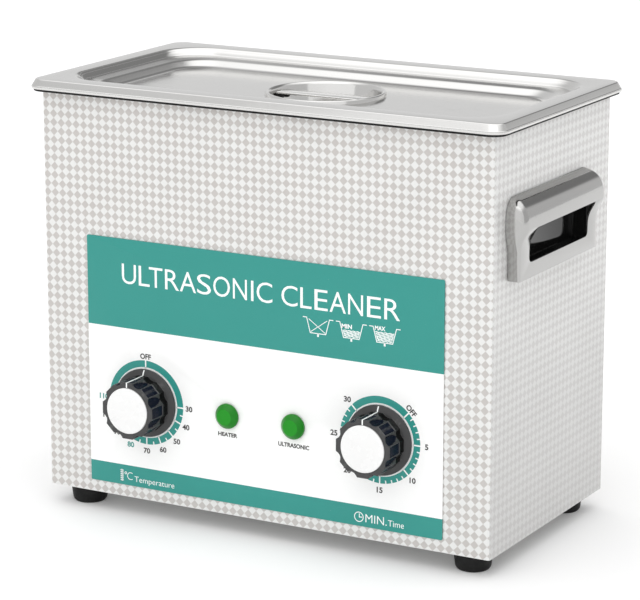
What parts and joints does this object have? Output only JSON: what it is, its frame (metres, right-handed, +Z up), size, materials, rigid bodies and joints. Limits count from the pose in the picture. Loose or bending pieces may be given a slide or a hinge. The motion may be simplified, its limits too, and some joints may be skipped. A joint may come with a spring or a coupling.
{
  "type": "ultrasonic cleaner",
  "caption": "Benchtop heated ultrasonic cleaning basin with lift-off lid, rotary heat and time controls, side grips and rear drain valve.",
  "frame": {"origin": "middle of the whole object's footprint (knobs to drain mouth), on the plane of the feet", "axes": "+X towards the object's right as seen from the front, +Y towards the back, +Z up; the controls face -Y"},
  "size_m": [0.3372, 0.2334, 0.2735],
  "materials": {
    "patterned_steel": "satin steel sheet printed with small light and grey diamonds",
    "polished_steel": "polished stainless",
    "plain_steel": "plain mill finish",
    "rubber": "matt black rubber",
    "printed_overlay": "satin printed film, teal bands and white field",
    "knob_plastic": "dark grey moulded plastic with a white pointer line",
    "cap_plastic": "satin white",
    "black_plastic": "black moulding",
    "green_lens": "translucent green",
    "aluminium": "turned",
    "ceramic": "fired ceramic and windings",
    "silicone": "silicone heating mat",
    "circuit_board": "green solder mask",
    "brass": "turned brass",
    "red_plastic": "red moulding"
  },
  "bodies": {
    "housing": {"base_plate": "plain_steel", "board_standoff_1": "brass", "board_standoff_2": "brass", "board_standoff_3": "brass", "board_standoff_4": "brass", "casing": "patterned_steel", "drain_pipe": "plain_steel", "drain_valve": "brass", "foot_front_left": "rubber", "foot_front_right": "rubber", "foot_rear_left": "rubber", "foot_rear_right": "rubber", "foot_screw_front_left": "plain_steel", "foot_screw_front_right": "plain_steel", "foot_screw_rear_left": "plain_steel", "foot_screw_rear_right": "plain_steel", "front_heater_pad": "silicone", "front_panel": "printed_overlay", "fuse_holder": "black_plastic", "generator_board": "circuit_board", "heat_sink": "aluminium", "heater_lamp": "green_lens", "heater_lamp_holder": "black_plastic", "left_finger_cup": "black_plastic", "left_handle": "polished_steel", "output_transformer": "ceramic", "power_inlet": "black_plastic", "rear_heater_pad": "silicone", "rear_plate": "plain_steel", "right_finger_cup": "black_plastic", "right_handle": "polished_steel", "rim_gasket": "rubber", "switch_frame": "black_plastic", "tank": "polished_steel", "thermostat": "black_plastic", "timer": "plain_steel", "transducer_1_back_mass": "plain_steel", "transducer_1_bolt": "plain_steel", "transducer_1_front_mass": "aluminium", "transducer_1_piezo_stack": "ceramic", "transducer_2_back_mass": "plain_steel", "transducer_2_bolt": "plain_steel", "transducer_2_front_mass": "aluminium", "transducer_2_piezo_stack": "ceramic", "transducer_3_back_mass": "plain_steel", "transducer_3_bolt": "plain_steel", "transducer_3_front_mass": "aluminium", "transducer_3_piezo_stack": "ceramic", "ultrasonic_lamp": "green_lens", "ultrasonic_lamp_holder": "black_plastic"},
    "lid": {"lid": "polished_steel", "lid_bar": "polished_steel"},
    "temperature_control": {"temperature_knob": "knob_plastic", "temperature_knob_cap": "cap_plastic", "temperature_shaft": "plain_steel"},
    "timer_control": {"timer_knob": "knob_plastic", "timer_knob_cap": "cap_plastic", "timer_shaft": "plain_steel"},
    "power_rocker": {"switch_rocker": "red_plastic"},
    "drain_handle": {"drain_lever": "red_plastic"}
  },
  "joints": [
    {"name": "lid_lift", "type": "slide", "parent": "housing", "child": "lid", "axis": [0, 0, 1], "range_m": [0, 0.12]},
    {"name": "temperature_turn", "type": "hinge", "parent": "housing", "child": "temperature_control", "pos_m": [-0.0817, -0.0935, 0.0761], "axis": [0, 1, 0], "range_deg": [0, 270]},
    {"name": "timer_turn", "type": "hinge", "parent": "housing", "child": "timer_control", "pos_m": [0.0827, -0.0935, 0.0761], "axis": [0, 1, 0], "range_deg": [0, 315]},
    {"name": "power_rock", "type": "hinge", "parent": "housing", "child": "power_rocker", "pos_m": [-0.07, 0.0711, 0.052], "axis": [1, 0, 0], "range_deg": [0, 16]},
    {"name": "drain_turn", "type": "hinge", "parent": "housing", "child": "drain_handle", "pos_m": [0.0475, 0.0868, 0.074], "axis": [0, 0, -1], "range_deg": [0, 90]}
  ]
}
